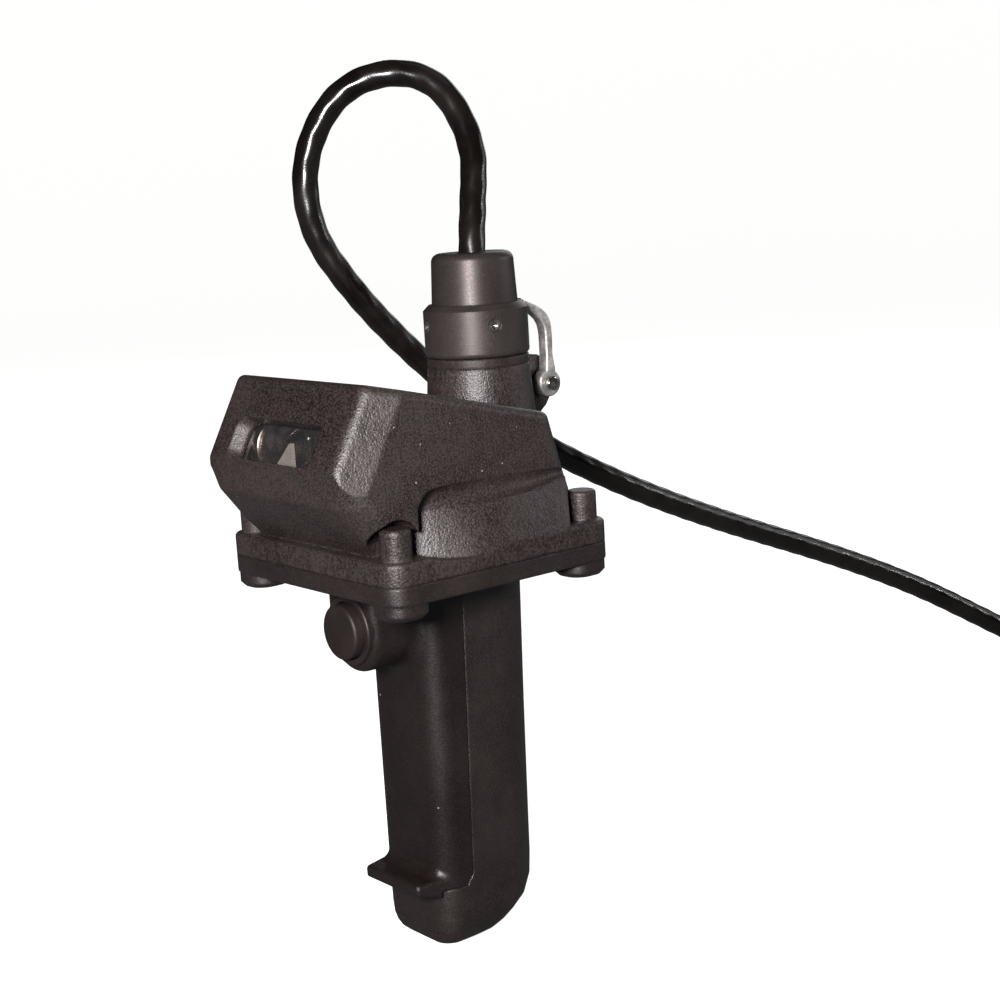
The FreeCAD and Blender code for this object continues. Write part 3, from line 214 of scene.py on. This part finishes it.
class Mat:
    def __init__(self, name):
        self.m = bpy.data.materials.new(name)
        self.m.use_nodes = True
        self.t = self.m.node_tree
        self.b = self.t.nodes["Principled BSDF"]
        self.coord = None

    def set(self, **kw):
        names = {"color": "Base Color", "rough": "Roughness", "metal": "Metallic", "spec": "Specular IOR Level",
                 "ior": "IOR", "coat": "Coat Weight", "coat_rough": "Coat Roughness", "alpha": "Alpha",
                 "transmission": "Transmission Weight", "sheen": "Sheen Weight", "aniso": "Anisotropic"}
        for k, v in kw.items():
            s = self.b.inputs[names[k]]
            s.default_value = (*v, 1.0) if k == "color" else v
        return self

    def node(self, kind, **props):
        n = self.t.nodes.new(kind)
        for k, v in props.items():
            setattr(n, k, v)
        return n

    def link(self, a, b):
        self.t.links.new(a, b)
        return self

    def pos(self, scale=(1, 1, 1), rot=(0, 0, 0)):
        """Object coordinates, stretched."""
        if self.coord is None:
            self.coord = self.node("ShaderNodeTexCoord")
        mp = self.node("ShaderNodeMapping")
        mp.inputs["Scale"].default_value = scale
        mp.inputs["Rotation"].default_value = rot
        self.link(self.coord.outputs["Object"], mp.inputs["Vector"])
        return mp.outputs["Vector"]

    def uv(self, scale=(1, 1, 1)):
        if self.coord is None:
            self.coord = self.node("ShaderNodeTexCoord")
        mp = self.node("ShaderNodeMapping")
        mp.inputs["Scale"].default_value = scale
        self.link(self.coord.outputs["UV"], mp.inputs["Vector"])
        return mp.outputs["Vector"]

    def noise(self, scale, vec=None, detail=2.0, rough=0.5):
        n = self.node("ShaderNodeTexNoise")
        n.inputs["Scale"].default_value = scale
        n.inputs["Detail"].default_value = detail
        n.inputs["Roughness"].default_value = rough
        self.link(vec if vec is not None else self.pos(), n.inputs["Vector"])
        return n.outputs["Fac"]

    def cells(self, scale, vec=None, feature="F1", out="Distance"):
        n = self.node("ShaderNodeTexVoronoi", feature=feature)
        n.inputs["Scale"].default_value = scale
        self.link(vec if vec is not None else self.pos(), n.inputs["Vector"])
        return n.outputs[out]

    def math(self, op, a, b=None, c=None, clamp=False):
        n = self.node("ShaderNodeMath", operation=op, use_clamp=clamp)
        for i, v in enumerate((a, b, c)):
            if v is None:
                continue
            if isinstance(v, (int, float)):
                n.inputs[i].default_value = v
            else:
                self.link(v, n.inputs[i])
        return n.outputs[0]

    def ramp(self, fac, lo, hi, to0=0.0, to1=1.0):
        n = self.node("ShaderNodeMapRange")
        n.interpolation_type = "SMOOTHSTEP"
        self.link(fac, n.inputs[0])
        for i, v in enumerate((lo, hi, to0, to1)):
            n.inputs[i + 1].default_value = v
        return n.outputs[0]

    def mix(self, fac, a, b):
        n = self.node("ShaderNodeMix", data_type="RGBA")
        f, ia, ib = n.inputs[0], n.inputs[6], n.inputs[7]
        if isinstance(fac, (int, float)):
            f.default_value = fac
        else:
            self.link(fac, f)
        for sock, v in ((ia, a), (ib, b)):
            if isinstance(v, tuple):
                sock.default_value = (*v, 1.0)
            else:
                self.link(v, sock)
        return n.outputs[2]

    def color(self, out):
        self.link(out, self.b.inputs["Base Color"])
        return self

    def rough(self, out):
        self.link(out, self.b.inputs["Roughness"])
        return self

    def bump(self, height, dist, strength=1.0, soft=0.0):
        """Bump from a height; soft rounds the edges underneath it, in metres."""
        n = self.node("ShaderNodeBump")
        n.inputs["Strength"].default_value = strength
        n.inputs["Distance"].default_value = dist
        self.link(height, n.inputs["Height"])
        if soft:
            bv = self.node("ShaderNodeBevel", samples=4)
            bv.inputs["Radius"].default_value = soft
            self.link(bv.outputs[0], n.inputs["Normal"])
        self.link(n.outputs[0], self.b.inputs["Normal"])
        return self

    def edge_mask(self, radius, lo=0.02, hi=0.35):
        """1 on sharp edges, 0 on flat faces."""
        bv = self.node("ShaderNodeBevel", samples=4)
        bv.inputs["Radius"].default_value = radius
        ge = self.node("ShaderNodeNewGeometry")
        d = self.node("ShaderNodeVectorMath", operation="DOT_PRODUCT")
        self.link(bv.outputs[0], d.inputs[0])
        self.link(ge.outputs["Normal"], d.inputs[1])
        inv = self.math("SUBTRACT", 1.0, d.outputs["Value"])
        return self.ramp(inv, lo, hi)


def casting(name, dark, light, grain, depth, rough, streak=0.5, specks=0.5, soft=0.0012, spec=0.45, fleck=0.5):
    """Painted casting: fine pebbled skin, light flecks, slow mottling, a few dust specks, and edges lightened, partly
    as rubbed wear and partly as a painted highlight.
    """
    m = Mat(name)
    pebble = m.noise(grain, detail=3.0, rough=0.62)
    fine = m.cells(grain * 0.9)
    up_and_down = m.noise(grain * 0.8, m.pos((1.0, 1.0, 0.22)), detail=2.0, rough=0.55)
    slow = m.noise(38.0, detail=3.0, rough=0.55)
    mid_ = m.noise(240.0, detail=2.0, rough=0.5)
    tone = m.math("MULTIPLY_ADD", m.ramp(pebble, 0.41, 0.66), fleck, 0.0)
    tone = m.math("MULTIPLY_ADD", m.ramp(up_and_down, 0.42, 0.68), 0.30 * streak, tone)
    tone = m.math("MULTIPLY_ADD", m.ramp(slow, 0.30, 0.70), 0.30, tone)
    tone = m.math("MULTIPLY_ADD", m.ramp(mid_, 0.35, 0.72), 0.14, tone, clamp=True)
    col = m.mix(tone, dark, light)
    if specks:
        near = m.cells(260.0)
        pick = m.cells(260.0, out="Color")
        sep = m.node("ShaderNodeSeparateColor")
        m.link(pick, sep.inputs[0])
        is_spot = m.math("MULTIPLY", m.ramp(near, 0.05, 0.11, 1.0, 0.0), m.ramp(sep.outputs[0], 1.0 - 0.06 * specks, 1.0 - 0.045 * specks))
        col = m.mix(is_spot, col, (0.42, 0.38, 0.36))
    # Edges lightened towards 2.6 times the light tone, patchy by noise: partly rubbed wear, partly a painted highlight
    # where rounded edges catch the lamp.
    edge = m.edge_mask(0.0011)
    edge_wear_and_sheen = m.math("MULTIPLY", edge, m.ramp(m.noise(420.0, detail=2.0), 0.40, 0.70))
    col = m.mix(m.math("MULTIPLY", edge_wear_and_sheen, 0.8), col, tuple(min(1.0, c * 2.6) for c in light))
    m.color(col)
    m.set(spec=spec)
    r = m.math("MULTIPLY_ADD", m.ramp(slow, 0.3, 0.7), 0.10, rough - 0.05)
    m.rough(m.math("MULTIPLY_ADD", m.ramp(pebble, 0.3, 0.7), 0.08, r))
    h = m.math("MULTIPLY_ADD", pebble, 0.7, m.math("MULTIPLY", fine, 0.35))
    h = m.math("MULTIPLY_ADD", up_and_down, 0.35 * streak, h)
    h = m.math("MULTIPLY_ADD", mid_, 0.9, h)
    m.bump(h, depth, 1.0, soft)
    return m.m


MATS = {}
MATS["casting"] = casting("cast_skin", (0.0065, 0.0038, 0.0036), (0.050, 0.0370, 0.0355), 1500.0, 0.00018, 0.40,
                          spec=0.68, streak=0.9, fleck=0.95, specks=1.0)
MATS["casting_lower"] = casting("cast_skin_lower", (0.007, 0.0038, 0.0036), (0.030, 0.0205, 0.0195), 1900.0, 0.00010,
                                0.38, streak=0.35, specks=0.9, fleck=0.6, spec=0.9)
MATS["grip_cover"] = casting("cover_skin", (0.0075, 0.0041, 0.0039), (0.020, 0.0137, 0.0132), 1500.0, 0.00006, 0.37,
                             streak=0.2, specks=1.0, fleck=0.4, spec=0.65)


def turned(name, dark, light, rough, metal, line_scale=2600.0, depth=0.00002, soft=0.0005):
    """Satin turned part: faint rings round the axis, slight mottling, and a painted highlight along its edges."""
    m = Mat(name)
    rings = m.noise(1.0, m.pos((3.0, 3.0, line_scale)), detail=2.0, rough=0.6)
    slow = m.noise(60.0, detail=3.0)
    dust = m.noise(1500.0, detail=2.0)
    tone = m.math("MULTIPLY_ADD", m.ramp(slow, 0.3, 0.7), 0.45, m.math("MULTIPLY", m.ramp(rings, 0.3, 0.7), 0.25))
    tone = m.math("MULTIPLY_ADD", m.ramp(dust, 0.45, 0.75), 0.3, tone, clamp=True)
    # Painted highlight: sharp edges lightened towards 1.9 times the light tone, as if catching the lamp.
    edge = m.edge_mask(0.0006)
    col = m.mix(tone, dark, light)
    col = m.mix(m.math("MULTIPLY", edge, 0.45), col, tuple(min(1.0, c * 1.9) for c in light))
    m.color(col)
    m.set(metal=metal, spec=0.5)
    m.rough(m.math("MULTIPLY_ADD", m.ramp(dust, 0.3, 0.7), 0.08, rough - 0.04))
    m.bump(m.math("MULTIPLY_ADD", rings, 1.0, m.math("MULTIPLY", dust, 0.5)), depth, 1.0, soft)
    return m.m


MATS["collar"] = turned("collar_satin", (0.046, 0.036, 0.035), (0.078, 0.066, 0.064), 0.42, 0.45)
MATS["plug_cap"] = turned("cap_satin", (0.046, 0.036, 0.035), (0.078, 0.066, 0.064), 0.42, 0.5)
MATS["receptacle"] = casting("receptacle_skin", (0.014, 0.0085, 0.008), (0.050, 0.037, 0.035), 1600.0, 0.00008, 0.45, specks=0.0)


def metal(name, dark, light, rough, grain=900.0, depth=0.00006, soft=0.0004, blotch=0.6, level=1.0):
    m = Mat(name)
    big = m.noise(220.0, detail=3.0, rough=0.6)
    fine = m.noise(grain, detail=3.0, rough=0.6)
    tone = m.math("MULTIPLY_ADD", m.ramp(big, 0.35, 0.68), blotch, m.math("MULTIPLY", m.ramp(fine, 0.3, 0.7), 0.4), clamp=True)
    col = m.mix(tone, dark, light)
    m.color(col)
    m.set(metal=level)
    m.rough(m.math("MULTIPLY_ADD", m.ramp(big, 0.3, 0.7), 0.16, rough - 0.05))
    m.bump(m.math("MULTIPLY_ADD", big, 2.0, fine), depth, 1.0, soft)
    return m.m


MATS["latch"] = metal("latch_cast_steel", (0.42, 0.40, 0.39), (0.94, 0.92, 0.895), 0.45, 1100.0, 0.00016, 0.0010, level=0.8)
MATS["set_screws"] = metal("screw_steel", (0.34, 0.33, 0.32), (0.72, 0.70, 0.68), 0.22, 2200.0, 0.00002, 0.0003)
MATS["fasteners"] = metal("fastener_steel", (0.28, 0.27, 0.27), (0.55, 0.54, 0.53), 0.34, 1600.0, 0.00003, 0.0003)
MATS["spring"] = metal("spring_steel", (0.40, 0.40, 0.40), (0.68, 0.68, 0.68), 0.28, 1800.0, 0.00002, 0.0)
MATS["bracket"] = metal("bracket_steel", (0.36, 0.36, 0.36), (0.56, 0.56, 0.56), 0.38, 1400.0, 0.00003, 0.0003)
MATS["retainer"] = metal("retainer_satin", (0.10, 0.095, 0.09), (0.20, 0.19, 0.18), 0.42, 1400.0, 0.00003, 0.0003)
MATS["optics_bracket"] = metal("optics_satin", (0.055, 0.042, 0.038), (0.115, 0.092, 0.084), 0.50, 1200.0, 0.00003, 0.0003)
MATS["barrel"] = metal("barrel_black_chrome", (0.15, 0.112, 0.102), (0.32, 0.255, 0.235), 0.44, 1600.0, 0.00002, 0.0003)
MATS["barrel_ring"] = metal("ring_chrome", (0.22, 0.18, 0.165), (0.50, 0.44, 0.41), 0.30, 1600.0, 0.00001, 0.0002)
MATS["pins"] = metal("pin_brass", (0.55, 0.36, 0.10), (0.80, 0.58, 0.25), 0.25, 1500.0, 0.00001, 0.0)
MATS["connector_metal"] = metal("connector_nickel", (0.42, 0.41, 0.40), (0.66, 0.65, 0.63), 0.30, 1500.0, 0.00002, 0.0003)


def mirror_material():
    m = Mat("mirror_plate_skin")
    slow = m.noise(120.0, detail=2.0)
    m.color(m.mix(m.ramp(slow, 0.3, 0.7), (0.30, 0.265, 0.24), (0.38, 0.34, 0.31)))
    m.set(metal=0.25, spec=0.5)
    m.rough(m.math("MULTIPLY_ADD", slow, 0.2, 0.38))
    return m.m


MATS["mirror"] = mirror_material()


def moulded(name, dark, light, rough, grain=1800.0, depth=0.00003, soft=0.0005, spec=0.5, slow_scale=60.0):
    """Moulded plastic or rubber."""
    m = Mat(name)
    fine = m.noise(grain, detail=3.0, rough=0.6)
    slow = m.noise(slow_scale, detail=3.0)
    tone = m.math("MULTIPLY_ADD", m.ramp(slow, 0.3, 0.7), 0.5, m.math("MULTIPLY", m.ramp(fine, 0.35, 0.7), 0.5), clamp=True)
    m.color(m.mix(tone, dark, light))
    m.set(spec=spec)
    m.rough(m.math("MULTIPLY_ADD", m.ramp(slow, 0.3, 0.7), 0.12, rough - 0.06))
    m.bump(fine, depth, 1.0, soft)
    return m.m


MATS["button"] = moulded("button_rubber", (0.012, 0.0075, 0.0072), (0.024, 0.0165, 0.016), 0.50, soft=0.0006)
MATS["button_bezel"] = moulded("bezel_moulding", (0.012, 0.008, 0.0078), (0.026, 0.018, 0.0175), 0.40, soft=0.0005)
MATS["gasket"] = moulded("gasket_rubber", (0.008, 0.007, 0.007), (0.016, 0.014, 0.014), 0.62)
MATS["switch_body"] = moulded("switch_moulding", (0.018, 0.018, 0.020), (0.035, 0.035, 0.038), 0.50)
MATS["switch_plunger"] = moulded("plunger_moulding", (0.32, 0.035, 0.025), (0.46, 0.06, 0.04), 0.35)
MATS["circuit_board"] = moulded("board_laminate", (0.012, 0.075, 0.030), (0.020, 0.12, 0.05), 0.40)
MATS["sensor"] = moulded("sensor_moulding", (0.014, 0.014, 0.014), (0.03, 0.03, 0.03), 0.45)
MATS["insert"] = moulded("insert_moulding", (0.03, 0.028, 0.026), (0.06, 0.056, 0.052), 0.50)
MATS["gland"] = moulded("gland_rubber", (0.008, 0.007, 0.007), (0.018, 0.015, 0.015), 0.55)
MATS["loom"] = moulded("loom_sleeve", (0.03, 0.03, 0.035), (0.07, 0.07, 0.08), 0.55)
MATS["ties"] = moulded("tie_strap", (0.015, 0.015, 0.015), (0.04, 0.04, 0.04), 0.45)
MATS["connector"] = moulded("connector_moulding", (0.012, 0.011, 0.011), (0.03, 0.027, 0.027), 0.45, depth=0.00006)
MATS["connector_ring"] = turned("connector_ring_satin", (0.10, 0.09, 0.09), (0.20, 0.185, 0.18), 0.34, 0.8)


def jacket():
    m = Mat("cable_jacket_rubber")
    fine = m.noise(1400.0, detail=3.0, rough=0.6)
    slow = m.noise(70.0, detail=3.0)
    m.color(m.mix(m.ramp(slow, 0.3, 0.7), (0.0045, 0.0035, 0.0030), (0.0105, 0.0085, 0.0075)))
    m.set(spec=0.5)
    m.rough(m.math("MULTIPLY_ADD", m.ramp(slow, 0.3, 0.7), 0.12, 0.18))
    m.bump(fine, 0.00003, 1.0)
    return m.m


MATS["cable"] = jacket()


def clear(name, tint, alpha, rough=0.02):
    """Clear pane: mostly open, with the gloss of its surface."""
    m = Mat(name)
    slow = m.noise(90.0, detail=3.0)
    m.color(m.mix(m.ramp(slow, 0.3, 0.7), tint, tuple(c * 0.92 for c in tint)))
    m.set(spec=0.5, alpha=alpha)
    m.rough(m.math("MULTIPLY_ADD", m.ramp(slow, 0.35, 0.7), 0.05, rough))
    return m.m


MATS["window_glass"] = clear("window_pane", (0.10, 0.10, 0.10), 0.10)
MATS["lens"] = clear("lens_blank", (0.10, 0.092, 0.09), 0.55)

for row in frame["record"]["subparts"]:
    o = frame["nodes"][row["node"]]
    mat = MATS[row["material_slot"]]
    o.data.materials.clear()
    o.data.materials.append(mat)
    o.data.polygons.foreach_set("material_index", [0] * len(o.data.polygons))

cable.data.materials.append(MATS["cable"])
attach(cable, "housing")
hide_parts("cable", "cable_coil", "cable_tail")

# ------------------------------------------------------------- stage --------
fm = bpy.data.materials.new("floor")
fm.use_nodes = True
ft = fm.node_tree
fb = ft.nodes["Principled BSDF"]
fb.inputs["Base Color"].default_value = (0.80, 0.80, 0.79, 1)
fb.inputs["Roughness"].default_value = 0.85
fb.inputs["Specular IOR Level"].default_value = 0.2
lp = ft.nodes.new("ShaderNodeLightPath")
em = ft.nodes.new("ShaderNodeEmission")
em.inputs["Color"].default_value = (1.0, 1.0, 0.995, 1)
em.inputs["Strength"].default_value = 0.96
black = ft.nodes.new("ShaderNodeEmission")
ge = ft.nodes.new("ShaderNodeNewGeometry")
sx = ft.nodes.new("ShaderNodeSeparateXYZ")
mr = ft.nodes.new("ShaderNodeMapRange")
ft.links.new(ge.outputs["True Normal"], sx.inputs[0])
ab = ft.nodes.new("ShaderNodeMath")
ab.operation = "ABSOLUTE"
ft.links.new(sx.outputs[2], ab.inputs[0])
ft.links.new(ab.outputs[0], mr.inputs[0])
for i, v in enumerate((0.90, 0.999, 0.020, 0.110)):
    mr.inputs[i + 1].default_value = v
ft.links.new(mr.outputs[0], black.inputs["Strength"])
sw = ft.nodes.new("ShaderNodeMixShader")
ft.links.new(lp.outputs["Is Camera Ray"], sw.inputs[0])
ft.links.new(black.outputs[0], sw.inputs[1])
ft.links.new(em.outputs[0], sw.inputs[2])
ad = ft.nodes.new("ShaderNodeAddShader")
ft.links.new(fb.outputs[0], ad.inputs[0])
ft.links.new(em.outputs[0], ad.inputs[1])
ft.links.new(black.outputs[0], sw.inputs[1])
ft.links.new(ad.outputs[0], sw.inputs[2])
ft.links.new(sw.outputs[0], ft.nodes["Material Output"].inputs["Surface"])

rows, rings = [], 96
prof = [(0.0, 0.0), (1.0, 0.0), (2.4, 0.0), (3.2, 0.0)]
for k in range(1, 13):
    a = math.radians(90 * k / 12)
    prof.append((3.2 + 1.8 * math.sin(a), 1.8 * (1 - math.cos(a))))
prof.append((5.0, 5.0))
verts, faces = [Vector((0.0, 0.2, FLOOR))], []
for r, z in prof[1:]:
    for k in range(rings):
        a = 2 * math.pi * k / rings
        verts.append(Vector((r * math.cos(a), 0.2 + r * math.sin(a), FLOOR + z)))
for k in range(rings):
    faces.append((0, 1 + k, 1 + (k + 1) % rings))
for i in range(len(prof) - 2):
    for k in range(rings):
        a, b = 1 + i * rings + k, 1 + i * rings + (k + 1) % rings
        faces.append((a, a + rings, b + rings, b))
floor = mesh_object("floor", verts, faces)
floor.data.materials.append(fm)

world = bpy.data.worlds.new("studio")
scene.world = world
world.use_nodes = True
wt = world.node_tree
bg = wt.nodes["Background"]
bg.inputs["Color"].default_value = (1.0, 0.99, 0.98, 1)
bg.inputs["Strength"].default_value = 0.02


def area(name, at, to, size, watts, colour=(1, 1, 1), size_y=None):
    l = bpy.data.lights.new(name, "AREA")
    l.energy = watts
    l.color = colour
    l.size = size
    if size_y:
        l.shape = "RECTANGLE"
        l.size_y = size_y
    o = bpy.data.objects.new(name, l)
    scene.collection.objects.link(o)
    o.location = at
    o.rotation_euler = (Vector(to) - Vector(at)).to_track_quat("-Z", "Y").to_euler()
    return o


centre = P(0, 0, 10)
key_at = eye - right * 0.12 + up * 0.05
area("key", key_at, centre, 0.11, 6.4, (1.0, 0.97, 0.96))
area("right_fill", centre + Vector((0.80, 1.30, 0.38)), centre + Vector((0.0, 0.15, 0.0)), 0.08, 1.4)
area("low_front", centre + Vector((0.35, -0.85, -0.10)), centre, 0.30, 0.03)
area("back", centre + Vector((-0.95, 1.5, 0.75)), centre, 1.1, 5.0)
area("back_right", centre + Vector((0.5, 1.9, 0.5)), centre, 0.8, 2.0)
area("top", centre + Vector((0.2, 0.5, 1.7)), centre, 1.0, 0.9)
